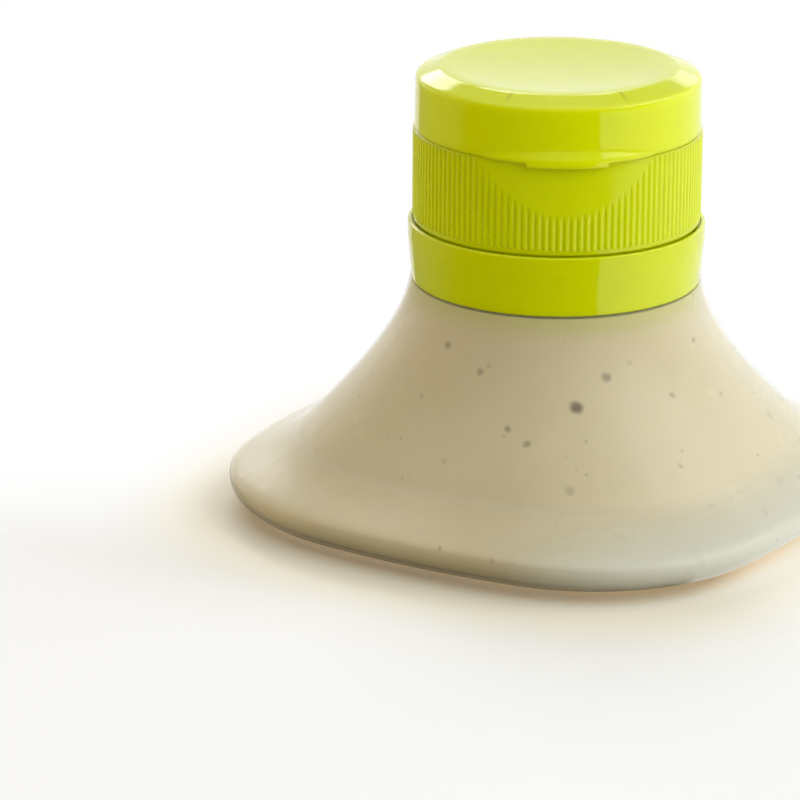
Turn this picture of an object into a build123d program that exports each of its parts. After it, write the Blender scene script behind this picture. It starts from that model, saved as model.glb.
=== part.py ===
from build123d import *

# Squat squeeze bottle of sauce with a screw-on flip-top closure.
# Millimetres, +Z up. Origin: centre of the base, on the surface that it stands on.
# The thumb lip of the closure faces -Y and its hinge is at +Y.

import os
from math import atan2, cos, degrees, hypot, pi, radians, sin, sqrt

# ---- bottle body: round at the neck, softly squared at the foot ----
BODY_HALF_WIDTH = 44.3      # centre to the middle of a flat side, at the widest
CORNER_REACH = 0.108        # how much further out a corner stands, as a share
CORNER_TIGHTNESS = 0.329    # how much smaller a corner's radius is, as a share
BODY_TWIST = -32.5          # degrees that the flats stand off from the closure's front
SHOULDER_Z = 34.25          # height of the shoulder that the tamper band sits over
TIP_Z = 5.35                # height of the widest level
SQUARE_Z = 1.0              # below this level the section is fully squared
SQUARE_EASE = 1.17          # how late the squareness comes in, going down
CREASE_R = 35.7             # half width at the crease between flare and foot
CREASE_Z = 10.6             # height of the crease
CONTACT_HALF_WIDTH = 35.6   # outer edge of the ring that the bottle stands on
CONTACT_WIDTH = 2.4         # width of that ring
PUSH_UP = 1.6               # height of the hollow under the base
PUSH_UP_SLOPE = 3.0         # how far its sides lean in
FLARE_TOP_LEAN = 8.5        # degrees from upright at the top of the flare
FLARE_FOOT_LEAN = 38.2      # degrees from upright just above the crease
FOOT_LEAN = 50.0            # degrees from upright just below the crease
FLARE_TOP_PULL = 0.36       # how straight the flare starts, as a share of its height
FLARE_FOOT_PULL = 0.31
FOOT_PULL = 0.62            # how straight the foot leaves the crease
TIP_PULL = 0.3              # how upright the foot's tip is
WALL = 0.8                  # blown wall
FLOOR_WALL = 1.0            # wall over the push-up

# ---- neck finish ----
NECK_R = 17.5
NECK_WALL = 1.9
NECK_HEIGHT = 19.25         # over the shoulder
NECK_LAND_ROUND = 0.4
HEADSPACE = 7.5             # from the neck's top down to the sauce
BEAD_REACH = 1.8            # snap bead that holds the tamper band down
BEAD_RISE = 5.65            # its underside over the shoulder
BEAD_FLAT = 0.5             # height of its outer edge
THREAD_PITCH = 4.233        # six threads to the inch
THREAD_DEPTH = 1.2
THREAD_ROOT = 2.0           # width of a ridge where it stands on its wall
THREAD_CREST = 1.0          # width of its top
THREAD_SINK = 0.3           # how deep its stock starts in the wall before trimming
THREAD_RISE = 11.65         # middle of the neck's ridge over the shoulder, at its start
THREAD_TURNS = 1.0          # of both ridges
THREAD_CLEARANCE = 0.25     # radial, crest to root
FLANK_GAP = 0.12            # along the axis, between the flanks that bear

# ---- tamper band ----
BAND_BEAD_GAP = 0.8         # around the bead
BAND_WALL = 1.2
BAND_FLARE = 0.6            # how much wider it is at its top
BAND_SEAT_GAP = 0.1         # over the bottle's shoulder
BAND_HEIGHT = 8.85
BAND_LIP_WALL = 0.65        # lip that stands around the closure's foot
BAND_LIP_DEPTH = 0.8
BAND_LIP_ROUND = 0.3
BAND_STRAIGHT = 2.5         # height of its upright top
CATCH_COUNT = 12            # flaps that hook under the neck's bead
CATCH_SHARE = 0.7
CATCH_REACH = 1.5
CATCH_HEIGHT = 1.8
CATCH_ROOT = 0.6            # height of a flap's root on the band
CATCH_TIP = 0.5             # thickness of its free edge
CATCH_DROP = 0.3            # below the bead
BRIDGE_COUNT = 12           # stubs left by the torn bridges
BRIDGE_WIDTH = 0.6
BRIDGE_GAP = 0.1
BRIDGE_INSET = 0.4          # from the band's inside to the stubs' middle
SHOULDER_STEP = 0.25        # how far the bottle's shoulder stands out under the band

# ---- closure body ----
SKIRT_WALL = 2.3            # thread root to rib crest
RIB_DEPTH = 0.2
RIB_COUNT = 132
RIB_SHARE = 0.72            # share of the pitch that a rib takes
RIB_TOP_BAND = 0.3          # smooth band over the ribs
RIB_FOOT_BAND = 0.7         # smooth band under the ribs
SKIRT_BAND_GAP = 0.2        # between the skirt and the tamper band
FOOT_HEIGHT = 0.7           # narrower foot that nests in the tamper band
FOOT_INSET = 0.55
LINER_THICKNESS = 0.9
LINER_GAP = 0.3             # inside the closure's thread
LINER_LAP = 0.1             # how far its hole clears the neck's bore
DECK_THICKNESS = 1.3
RIM_RISE = 1.3              # rim that the lid closes on, over the deck
SEAM_GAP = 0.03
SNAP_RING_HEIGHT = 1.7      # ring inside the lid's wall, over the rim
SNAP_RING_WALL = 1.0
SNAP_RING_CLEARANCE = 0.4

# ---- thumb scoop in the closure body ----
SCOOP_DEPTH = 1.3           # at the seam
SCOOP_HEIGHT = 9.0
SCOOP_R = 28.0              # radius of its floor
SCOOP_HALF_WIDTH = 15.0

# ---- pouring spout ----
SPOUT_BASE_R = 7.6
SPOUT_TOP_R = 5.2
SPOUT_HEIGHT = 4.6
SPOUT_LIP_ROUND = 0.5
ORIFICE_R = 3.5
ORIFICE_LENGTH = 1.6
SPOUT_WALL = 1.3

# ---- lid ----
LID_INSET = 0.25            # inside the ribs' crests
LID_HEIGHT = 9.27
LID_DRAFT = 0.1             # how much the wall closes in towards the top
LID_CORNER_DROP = 1.4       # where the wall and the sloping shoulder would meet
LID_CORNER_ROUND = 1.2      # how far the rounding between them reaches
SHOULDER_RUN = 3.8          # width of the sloping shoulder
DISH_RIM_ROUND = 0.35
DISH_DEPTH = 0.8
LID_WALL = 1.3
LID_TOP_WALL = 1.2
LID_INNER_ROUND = 1.0
PLUG_CLEARANCE = 0.2        # radial, in the orifice
PLUG_WALL = 0.9
PLUG_ENTRY = 1.0            # how far the plug reaches into the orifice
PLUG_TIP_ROUND = 0.3

# ---- thumb lip on the lid ----
LIP_INSET = 2.7             # how much smaller the lip's plan radius is than the lid's
LIP_REACH = 0.9             # how far it stands out of the lid's wall
LIP_HEIGHT = 1.9
LIP_EDGE = 0.45             # upright outer edge
LIP_TAB_HALF_ANGLE = 15.7   # tab under the middle of the lip
LIP_TAB_DROP = 0.6
LIP_TAB_WIDTH = 1.1

# ---- shallow flat in the lid's front shoulder ----
FLAT_HALF_ANGLE = 26.0
FLAT_DEPTH = 0.12
FLAT_RIM_MARGIN = 0.6       # from the dish's rim to the flat

# ---- living hinge ----
HINGE_PAD_HALF_WIDTH = 8.6
HINGE_PAD_HEIGHT = 2.6
HINGE_PAD_DEPTH = 3.0       # from the lid's wall inwards
HINGE_PAD_ROUND = 1.2
HINGE_PAD_STAND = 0.05      # outer face of both pads, outside the ribs' crests
HINGE_GAP = 0.55            # between the two pads
HINGE_AXIS_OUT = 0.25       # axis, outside the pads' faces
WEB_THICKNESS = 0.3
WEB_HALF_WIDTH = 3.8
WEB_HEIGHT = 2.2
STRAP_THICKNESS = 0.45
STRAP_WIDTH = 2.6
STRAP_OFFSET = 6.6
STRAP_HEIGHT = 4.2

# ---- radii that follow from the neck's ----
NECK_BORE_R = NECK_R - NECK_WALL
BEAD_R = NECK_R + BEAD_REACH
BAND_BORE_R = BEAD_R + BAND_BEAD_GAP
BAND_BASE_R = BAND_BORE_R + BAND_WALL
BAND_TOP_R = BAND_BASE_R + BAND_FLARE
SHOULDER_R = BAND_BASE_R + SHOULDER_STEP
SKIRT_BORE_R = NECK_R + THREAD_DEPTH + THREAD_CLEARANCE
RIB_CREST_R = SKIRT_BORE_R + SKIRT_WALL
RIB_VALLEY_R = RIB_CREST_R - RIB_DEPTH
SMOOTH_BAND_R = RIB_CREST_R - RIB_DEPTH / 2
FOOT_R = RIB_CREST_R - FOOT_INSET
LID_R = RIB_CREST_R - LID_INSET
DISH_R = LID_R - LID_DRAFT - SHOULDER_RUN
LIP_R = LID_R - LIP_INSET
SNAP_RING_R = LID_R - LID_WALL - SNAP_RING_CLEARANCE
PLUG_R = ORIFICE_R - PLUG_CLEARANCE
HINGE_PAD_REACH = RIB_CREST_R + HINGE_PAD_STAND
HINGE_Y = HINGE_PAD_REACH + HINGE_AXIS_OUT

# ---- heights that follow from the shoulder's ----
BEAD_BASE_Z = SHOULDER_Z + BEAD_RISE
NECK_THREAD_Z = SHOULDER_Z + THREAD_RISE
NECK_TOP_Z = SHOULDER_Z + NECK_HEIGHT
SAUCE_TOP_Z = NECK_TOP_Z - HEADSPACE
BAND_TOP_Z = SHOULDER_Z + BAND_SEAT_GAP + BAND_HEIGHT
SKIRT_BASE_Z = BAND_TOP_Z + SKIRT_BAND_GAP
DECK_BASE_Z = NECK_TOP_Z + LINER_THICKNESS
DECK_TOP_Z = DECK_BASE_Z + DECK_THICKNESS
SEAM_Z = DECK_TOP_Z + RIM_RISE
SPOUT_TOP_Z = DECK_TOP_Z + SPOUT_HEIGHT
LID_BASE_Z = SEAM_Z + SEAM_GAP
LID_TOP_Z = LID_BASE_Z + LID_HEIGHT
LID_CORNER_Z = LID_TOP_Z - LID_CORNER_DROP
HINGE_Z = SEAM_Z + SEAM_GAP / 2
QUARTER_PULL = 0.5523       # makes a cubic curve follow a quarter of an ellipse
CLEAR = 1.0                 # how far a cutting tool runs past what it cuts


# ---------------------------------------------------------------- helpers
def smoothstep(share):
    share = min(1.0, max(0.0, share))
    return share * share * (3 - 2 * share)


def bezier(points, t):
    """Point of a cubic curve through its four control points (r, z)."""
    weights = ((1 - t) ** 3, 3 * t * (1 - t) ** 2, 3 * t * t * (1 - t), t ** 3)
    r = sum(w * p[0] for w, p in zip(weights, points))
    z = sum(w * p[1] for w, p in zip(weights, points))
    return r, z


def evenly_along(curve, count):
    """Points at equal steps of length along a cubic curve, both ends included."""
    fine = [bezier(curve, step / 400) for step in range(401)]
    lengths = [0.0]
    for before, after in zip(fine[:-1], fine[1:]):
        lengths.append(lengths[-1] + hypot(after[0] - before[0], after[1] - before[1]))
    points = []
    for step in range(count):
        goal = lengths[-1] * step / (count - 1)
        nearest = min(range(401), key=lambda index: abs(lengths[index] - goal))
        points.append(fine[nearest])
    return points


def revolved(points):
    """Solid of revolution about Z of a closed outline of (r, z) points."""
    outline = Polyline([(r, 0, z) for r, z in points], close=True)
    return revolve(make_face(outline), Axis.Z)


def ring(r_in, r_out, z_low, z_high):
    return revolved([(r_in, z_low), (r_out, z_low), (r_out, z_high), (r_in, z_high)])


def block(x_low, x_high, y_low, y_high, z_low, z_high):
    size = (x_high - x_low, y_high - y_low, z_high - z_low)
    middle = ((x_low + x_high) / 2, (y_low + y_high) / 2, (z_low + z_high) / 2)
    return Pos(*middle) * Box(*size)


def sector(half_angle, reach, z_low, z_high, facing=-90.0):
    """Wedge with its edge on the Z axis, looking towards an azimuth in degrees."""
    low, high = radians(facing - half_angle), radians(facing + half_angle)
    tip = reach / cos(radians(half_angle))
    corners = [(0, 0), (tip * cos(low), tip * sin(low)), (tip * cos(high), tip * sin(high))]
    return Pos(0, 0, z_low) * extrude(make_face(Polyline(corners, close=True)), z_high - z_low)


# ---------------------------------------------------------------- bottle
def squareness(z):
    """0 where the body is round, 1 where it is fully squared."""
    share = (SHOULDER_Z - z) / (SHOULDER_Z - SQUARE_Z)
    return smoothstep(max(share, 0.0) ** SQUARE_EASE)


def body_section(half_width, z):
    """Closed outline of four side arcs and four corner arcs, all tangent."""
    share = max(squareness(z), 1e-4)
    reach = half_width * (1 + CORNER_REACH * share)
    corner_r = half_width * (1 - CORNER_TIGHTNESS * share)
    corner_at = (reach - corner_r) / sqrt(2)
    gap = half_width - corner_at
    side_r = (gap ** 2 + corner_at ** 2 - corner_r ** 2) / (2 * (gap - corner_r))
    side_at = half_width - side_r
    lean = atan2(corner_at, corner_at - side_at)
    join = Vector(side_at + side_r * cos(lean), side_r * sin(lean), z)
    join_back = Vector(join.X, -join.Y, z)
    middle = Vector(half_width, 0, z)
    corner = Vector(reach / sqrt(2), reach / sqrt(2), z)
    arcs = []
    for quarter in range(4):
        turn = BODY_TWIST + 90 * quarter
        start = join_back.rotate(Axis.Z, turn)
        end = join.rotate(Axis.Z, turn)
        next_start = join_back.rotate(Axis.Z, turn + 90)
        arcs.append(ThreePointArc(start, middle.rotate(Axis.Z, turn), end))
        arcs.append(ThreePointArc(end, corner.rotate(Axis.Z, turn), next_start))
    return Wire(arcs)


def lofted(profile):
    """Smooth solid through the sections at a list of (half width, z)."""
    return Solid.make_loft([body_section(half_width, z) for half_width, z in profile])


def flare_profile(inset):
    """Concave flare from the crease up to the shoulder, moved inwards by inset."""
    top_lean, foot_lean = radians(FLARE_TOP_LEAN), radians(FLARE_FOOT_LEAN)
    height = SHOULDER_Z - CREASE_Z
    top = (SHOULDER_R - inset * cos(top_lean), SHOULDER_Z - inset * sin(top_lean))
    foot = (CREASE_R - inset * cos(foot_lean), CREASE_Z - inset * sin(foot_lean))
    pull = FLARE_TOP_PULL * height
    below_top = (top[0] + pull * sin(top_lean), top[1] - pull * cos(top_lean))
    pull = FLARE_FOOT_PULL * height
    above_foot = (foot[0] - pull * sin(foot_lean), foot[1] + pull * cos(foot_lean))
    curve = [foot, above_foot, below_top, top]
    return evenly_along(curve, 7)


def heel_profile(inset, floor_z):
    """Rounded heel, near a quarter ellipse, from the floor out and up to the tip."""
    tip_r = BODY_HALF_WIDTH - inset
    run, rise = tip_r - CONTACT_HALF_WIDTH, TIP_Z - floor_z
    curve = [
        (CONTACT_HALF_WIDTH, floor_z),
        (CONTACT_HALF_WIDTH + QUARTER_PULL * run, floor_z),
        (tip_r, TIP_Z - QUARTER_PULL * rise),
        (tip_r, TIP_Z),
    ]
    return evenly_along(curve, 8)


def foot_profile(inset):
    """From the tip in and up to the crease."""
    tip_r = BODY_HALF_WIDTH - inset
    flare_lean = radians(FLARE_FOOT_LEAN)
    crease = (CREASE_R - inset * cos(flare_lean), CREASE_Z - inset * sin(flare_lean))
    lean = radians(FOOT_LEAN)
    pull = FOOT_PULL * (tip_r - crease[0])
    curve = [
        (tip_r, TIP_Z),
        (tip_r, TIP_Z + TIP_PULL * (crease[1] - TIP_Z)),
        (crease[0] + pull * sin(lean), crease[1] - pull * cos(lean)),
        crease,
    ]
    return evenly_along(curve, 8)


def body_solid(inset, floor_z):
    heel = lofted(heel_profile(inset, floor_z))
    return heel + lofted(foot_profile(inset)) + lofted(flare_profile(inset))


def neck_solid():
    """Plain neck with the bead that holds the tamper band."""
    bead_run = BEAD_R - NECK_R
    outline = [
        (0, SHOULDER_Z - WALL),
        (NECK_R, SHOULDER_Z - WALL),
        (NECK_R, BEAD_BASE_Z),
        (BEAD_R, BEAD_BASE_Z),
        (BEAD_R, BEAD_BASE_Z + BEAD_FLAT),
        (NECK_R, BEAD_BASE_Z + BEAD_FLAT + bead_run),
        (NECK_R, NECK_TOP_Z - NECK_LAND_ROUND),
        (NECK_R - NECK_LAND_ROUND, NECK_TOP_Z),
        (0, NECK_TOP_Z),
    ]
    return revolved(outline)


def push_up(offset=0.0):
    """Hollow under the base, or what stands over it at an offset."""
    slope = PUSH_UP_SLOPE / PUSH_UP
    foot = CONTACT_HALF_WIDTH - CONTACT_WIDTH + offset * sqrt(1 + slope ** 2)
    top_z = PUSH_UP + offset
    below = body_section(foot + slope * CLEAR, -CLEAR)
    return Solid.make_loft([below, body_section(foot - slope * top_z, top_z)])


def cavity():
    """Inside of the bottle: a channel around the push-up, the flare and the neck."""
    bore = Pos(0, 0, SHOULDER_Z - 2 * WALL) * extrude(Circle(NECK_BORE_R), NECK_TOP_Z)
    side = 2 * BODY_HALF_WIDTH
    over = block(-side, side, -side, side, SHOULDER_Z - WALL, NECK_TOP_Z)
    return body_solid(WALL, WALL) - over - push_up(FLOOR_WALL) + bore


def bottle():
    return body_solid(0, 0) + neck_solid() - cavity() - push_up()


def sauce():
    side = 2 * BODY_HALF_WIDTH
    return cavity() - block(-side, side, -side, side, SAUCE_TOP_Z, 2 * NECK_TOP_Z)


# ---------------------------------------------------------------- threads
def thread_ridge(wall_r, outwards, start_z):
    """Right-hand ridge that stands on a wall, outwards or inwards."""
    crest_r = wall_r + outwards * THREAD_DEPTH
    root_r = wall_r - outwards * THREAD_SINK
    slope = (THREAD_ROOT - THREAD_CREST) / THREAD_DEPTH
    root = (THREAD_ROOT + slope * THREAD_SINK) / 2
    crest = THREAD_CREST / 2
    height = THREAD_PITCH * THREAD_TURNS
    helix = Helix(THREAD_PITCH, height, wall_r, center=(0, 0, start_z))
    outline = Polyline(
        [
            (root_r, 0, start_z - root),
            (crest_r, 0, start_z - crest),
            (crest_r, 0, start_z + crest),
            (root_r, 0, start_z + root),
        ],
        close=True,
    )
    ridge = sweep(make_face(outline), path=helix, is_frenet=True)
    wall = Pos(0, 0, start_z) * Cylinder(wall_r, 4 * height)
    return ridge - wall if outwards > 0 else ridge & wall


def thread_shift():
    """How far the closure's ridge lies under the neck's when screwed tight."""
    slope = (THREAD_ROOT - THREAD_CREST) / THREAD_DEPTH
    widths = THREAD_ROOT + THREAD_CREST - slope * THREAD_CLEARANCE
    return widths / 2 + FLANK_GAP


def neck_thread():
    return thread_ridge(NECK_R, 1, NECK_THREAD_Z)


def closure_thread():
    return thread_ridge(SKIRT_BORE_R, -1, NECK_THREAD_Z - thread_shift())


# ---------------------------------------------------------------- closure
def ribbed_ring(z_low, z_high):
    """Grip ribs: rounded ridges around the skirt."""
    pitch = 2 * pi / RIB_COUNT
    half = RIB_SHARE * pitch / 2
    edges = []
    for index in range(RIB_COUNT):
        at = index * pitch
        start = polar(RIB_VALLEY_R, at - half)
        end = polar(RIB_VALLEY_R, at + half)
        following = polar(RIB_VALLEY_R, at + pitch - half)
        edges.append(ThreePointArc(start, polar(RIB_CREST_R, at), end))
        edges.append(Line(end, following))
    face = make_face(Wire(edges)) - Circle(SKIRT_BORE_R + SKIRT_WALL / 4)
    return Pos(0, 0, z_low) * extrude(face, z_high - z_low)


def polar(radius, angle):
    return Vector(radius * cos(angle), radius * sin(angle), 0)


def scoop():
    """What the thumb scoop takes away: all in front of a leaning round floor."""
    low_z = SEAM_Z - SCOOP_HEIGHT
    lean = degrees(atan2(SCOOP_DEPTH, SCOOP_HEIGHT))
    front = -RIB_CREST_R
    floor = Pos(0, front, low_z) * Rot(-lean, 0, 0) * Pos(0, SCOOP_R, 0)
    round_floor = floor * Cylinder(SCOOP_R, 6 * SCOOP_HEIGHT)
    window = block(
        -SCOOP_HALF_WIDTH, SCOOP_HALF_WIDTH,
        front - CLEAR, front + SCOOP_HALF_WIDTH / 2,
        low_z, SEAM_Z + SNAP_RING_HEIGHT + CLEAR,
    )
    return window - round_floor


def hinge_pad(z_low, z_high):
    half = HINGE_PAD_HALF_WIDTH
    pad = block(-half, half, LID_R - HINGE_PAD_DEPTH, HINGE_PAD_REACH, z_low, z_high)
    upright = pad.edges().filter_by(Axis.Z).sort_by(Axis.Y)[-2:]
    return fillet(upright, HINGE_PAD_ROUND)


def closure_body():
    rim_in = SNAP_RING_R - SNAP_RING_WALL
    outline = [
        (SKIRT_BORE_R, SKIRT_BASE_Z - FOOT_HEIGHT),
        (FOOT_R, SKIRT_BASE_Z - FOOT_HEIGHT),
        (FOOT_R, SKIRT_BASE_Z),
        (SMOOTH_BAND_R, SKIRT_BASE_Z),
        (SMOOTH_BAND_R, SKIRT_BASE_Z + RIB_FOOT_BAND),
        (RIB_VALLEY_R, SKIRT_BASE_Z + RIB_FOOT_BAND),
        (RIB_VALLEY_R, SEAM_Z - RIB_TOP_BAND),
        (SMOOTH_BAND_R, SEAM_Z - RIB_TOP_BAND),
        (SMOOTH_BAND_R, SEAM_Z),
        (SNAP_RING_R, SEAM_Z),
        (SNAP_RING_R, SEAM_Z + SNAP_RING_HEIGHT),
        (rim_in, SEAM_Z + SNAP_RING_HEIGHT),
        (rim_in, DECK_TOP_Z),
        (SPOUT_BASE_R - SPOUT_WALL, DECK_TOP_Z),
        (SPOUT_BASE_R - SPOUT_WALL, DECK_BASE_Z),
        (SKIRT_BORE_R, DECK_BASE_Z),
    ]
    ribs = ribbed_ring(SKIRT_BASE_Z + RIB_FOOT_BAND, SEAM_Z - RIB_TOP_BAND)
    pad_top = HINGE_Z - HINGE_GAP / 2
    pad = hinge_pad(pad_top - HINGE_PAD_HEIGHT, pad_top)
    bore = Pos(0, 0, SEAM_Z) * Cylinder(SNAP_RING_R - SNAP_RING_WALL / 2, 2 * SEAM_Z)
    return revolved(outline) + ribs + (pad - bore) - scoop()


def pour_spout():
    throat_z = SPOUT_TOP_Z - ORIFICE_LENGTH
    outline = [
        (SPOUT_BASE_R - SPOUT_WALL, DECK_TOP_Z),
        (SPOUT_BASE_R, DECK_TOP_Z),
        (SPOUT_TOP_R, SPOUT_TOP_Z - SPOUT_LIP_ROUND),
        (SPOUT_TOP_R - SPOUT_LIP_ROUND, SPOUT_TOP_Z),
        (ORIFICE_R, SPOUT_TOP_Z),
        (ORIFICE_R, throat_z),
    ]
    return revolved(outline)


def liner():
    return ring(NECK_BORE_R + LINER_LAP, SKIRT_BORE_R - LINER_GAP, NECK_TOP_Z, DECK_BASE_Z)


# ---------------------------------------------------------------- lid
def lid_outline():
    """(r, z) points of the lid's outside from the dish rim out to its wall."""
    wall_top = LID_R - LID_DRAFT
    lean = atan2(LID_TOP_Z - LID_CORNER_Z, wall_top - DISH_R)
    corner = (wall_top, LID_CORNER_Z)
    start = (
        wall_top - LID_CORNER_ROUND * cos(lean),
        LID_CORNER_Z + LID_CORNER_ROUND * sin(lean),
    )
    end = (wall_top, LID_CORNER_Z - LID_CORNER_ROUND)
    curve = [start, corner, corner, end]
    points = [(DISH_R, LID_TOP_Z - DISH_RIM_ROUND / 4)]
    points.append((DISH_R + DISH_RIM_ROUND, LID_TOP_Z - DISH_RIM_ROUND * sin(lean)))
    return points + [bezier(curve, step / 8) for step in range(9)]


def dish_floor():
    """Sphere whose cap is the dish in the lid's top."""
    rim_r = DISH_R - DISH_RIM_ROUND
    radius = (rim_r ** 2 + DISH_DEPTH ** 2) / (2 * DISH_DEPTH)
    return Pos(0, 0, LID_TOP_Z - DISH_DEPTH + radius) * Sphere(radius)


def lid_body():
    under_z = LID_TOP_Z - DISH_DEPTH - LID_TOP_WALL
    inner_r = LID_R - LID_WALL
    outline = [(0, LID_TOP_Z)] + lid_outline()
    outline += [
        (LID_R, LID_BASE_Z),
        (inner_r, LID_BASE_Z),
        (inner_r, under_z - LID_INNER_ROUND),
        (inner_r - LID_INNER_ROUND, under_z),
        (0, under_z),
    ]
    shell = revolved(outline) - dish_floor()
    pad_base = HINGE_Z + HINGE_GAP / 2
    pad = hinge_pad(pad_base, pad_base + HINGE_PAD_HEIGHT)
    bore = Pos(0, 0, LID_BASE_Z) * Cylinder(inner_r, 4 * LID_HEIGHT)
    return shell + (pad - bore) + (thumb_lip() - bore) - shoulder_flat()


def thumb_lip():
    """Crescent that flares out of the wall, with a tab under its middle."""
    centre_y = -(LID_R + LIP_REACH - LIP_R)
    outline = [
        (0, LID_BASE_Z),
        (LIP_R, LID_BASE_Z),
        (LIP_R, LID_BASE_Z + LIP_EDGE),
        (LIP_R - LIP_REACH, LID_BASE_Z + LIP_HEIGHT),
        (0, LID_BASE_Z + LIP_HEIGHT),
    ]
    crescent = Pos(0, centre_y, 0) * revolved(outline)
    crescent -= block(-2 * LID_R, 2 * LID_R, -LID_R / 2, 2 * LID_R, 0, 2 * LID_TOP_Z)
    tab = Pos(0, centre_y, 0) * ring(
        LIP_R - LIP_TAB_WIDTH, LIP_R, LID_BASE_Z - LIP_TAB_DROP, LID_BASE_Z + LIP_EDGE)
    tab &= sector(LIP_TAB_HALF_ANGLE, 2 * LID_R, 0, 2 * LID_TOP_Z)
    return crescent + tab


def shoulder_flat():
    """Shallow flat in the front of the lid's shoulder, within a sector."""
    wall_top = LID_R - LID_DRAFT
    lean = atan2(LID_TOP_Z - LID_CORNER_Z, wall_top - DISH_R)
    rise = (wall_top - DISH_R) * sin(lean) / cos(lean)
    outer_r = LID_R + CLEAR
    outer_z = LID_TOP_Z - rise - CLEAR * sin(lean) / cos(lean) - FLAT_DEPTH
    outline = [
        (DISH_R + FLAT_RIM_MARGIN, LID_TOP_Z + CLEAR),
        (DISH_R + FLAT_RIM_MARGIN, LID_TOP_Z - FLAT_DEPTH),
        (outer_r, outer_z),
        (outer_r, LID_TOP_Z + CLEAR),
    ]
    return revolved(outline) & sector(FLAT_HALF_ANGLE, 2 * LID_R, 0, LID_TOP_Z + 2 * CLEAR)


def lid_plug():
    tip_z = SPOUT_TOP_Z - PLUG_ENTRY
    under_z = LID_TOP_Z - DISH_DEPTH - LID_TOP_WALL
    outline = [
        (PLUG_R - PLUG_WALL, tip_z),
        (PLUG_R - PLUG_TIP_ROUND, tip_z),
        (PLUG_R, tip_z + PLUG_TIP_ROUND),
        (PLUG_R, under_z),
        (PLUG_R - PLUG_WALL, under_z),
    ]
    return revolved(outline)


# ---------------------------------------------------------------- hinge
def hinge_strip(x, width, thickness, height):
    """Flexible strip on the outer faces of both pads, across the gap."""
    return block(
        x - width / 2, x + width / 2,
        HINGE_PAD_REACH, HINGE_PAD_REACH + thickness,
        HINGE_Z - height / 2, HINGE_Z + height / 2,
    )


# ---------------------------------------------------------------- tamper band
def tamper_band():
    base_z = SHOULDER_Z + BAND_SEAT_GAP
    step_z = BAND_TOP_Z - BAND_LIP_DEPTH
    lip_in = BAND_TOP_R - BAND_LIP_WALL
    outline = [
        (BAND_BORE_R, base_z),
        (BAND_BASE_R, base_z),
        (BAND_TOP_R, BAND_TOP_Z - BAND_STRAIGHT),
    ]
    for step in range(5):
        turn = step * pi / 8
        r = BAND_TOP_R - BAND_LIP_ROUND * (1 - cos(turn))
        outline.append((r, BAND_TOP_Z - BAND_LIP_ROUND * (1 - sin(turn))))
    outline += [(lip_in, BAND_TOP_Z), (lip_in, step_z), (BAND_BORE_R, step_z)]
    return revolved(outline)


def band_catches():
    """Flaps inside the band, under the neck's bead."""
    top_z = BEAD_BASE_Z - CATCH_DROP
    full = revolved([
        (BAND_BORE_R, top_z - CATCH_HEIGHT),
        (BAND_BORE_R, top_z - CATCH_HEIGHT + CATCH_ROOT),
        (BAND_BORE_R - CATCH_REACH, top_z),
        (BAND_BORE_R - CATCH_REACH, top_z - CATCH_TIP),
    ])
    half = CATCH_SHARE * 180 / CATCH_COUNT
    flaps = []
    for index in range(CATCH_COUNT):
        wedge = sector(half, 2 * BAND_BORE_R, 0, BAND_TOP_Z, 360 * index / CATCH_COUNT)
        flaps.append(full & wedge)
    return flaps


def band_bridges():
    """Stubs on the band's step where the bridges to the closure tore."""
    step_z = BAND_TOP_Z - BAND_LIP_DEPTH
    top_z = SKIRT_BASE_Z - FOOT_HEIGHT - BRIDGE_GAP
    mid_r = BAND_BORE_R + BRIDGE_INSET
    half = BRIDGE_WIDTH / 2
    stubs = []
    for index in range(BRIDGE_COUNT):
        stub = block(mid_r - half, mid_r + half, -half, half, step_z, top_z)
        stubs.append(Rot(0, 0, 360 * (index + 0.5) / BRIDGE_COUNT) * stub)
    return stubs


# ---------------------------------------------------------------- write
def nodes():
    return {
        "bottle_shell": bottle(),
        "neck_thread": neck_thread(),
        "sauce_fill": sauce(),
        "liner_ring": liner(),
        "tamper_band": tamper_band(),
        "band_catches": band_catches(),
        "band_bridges": band_bridges(),
        "closure_shell": closure_body(),
        "closure_thread": closure_thread(),
        "pour_spout": pour_spout(),
        "lid_shell": lid_body(),
        "lid_plug": lid_plug(),
        "hinge_web": hinge_strip(0, 2 * WEB_HALF_WIDTH, WEB_THICKNESS, WEB_HEIGHT),
        "hinge_strap_left": hinge_strip(-STRAP_OFFSET, STRAP_WIDTH, STRAP_THICKNESS, STRAP_HEIGHT),
        "hinge_strap_right": hinge_strip(STRAP_OFFSET, STRAP_WIDTH, STRAP_THICKNESS, STRAP_HEIGHT),
    }


os.makedirs("parts", exist_ok=True)
for name, shape in nodes().items():
    solids = shape if isinstance(shape, list) else [shape]
    whole = Compound(children=[Compound(s.solids()) if len(s.solids()) > 1 else s.solid() for s in solids])
    whole.label = name
    export_step(whole, os.path.join("parts", name + ".step"))
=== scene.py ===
import math

import bpy
from mathutils import Matrix, Vector


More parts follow.
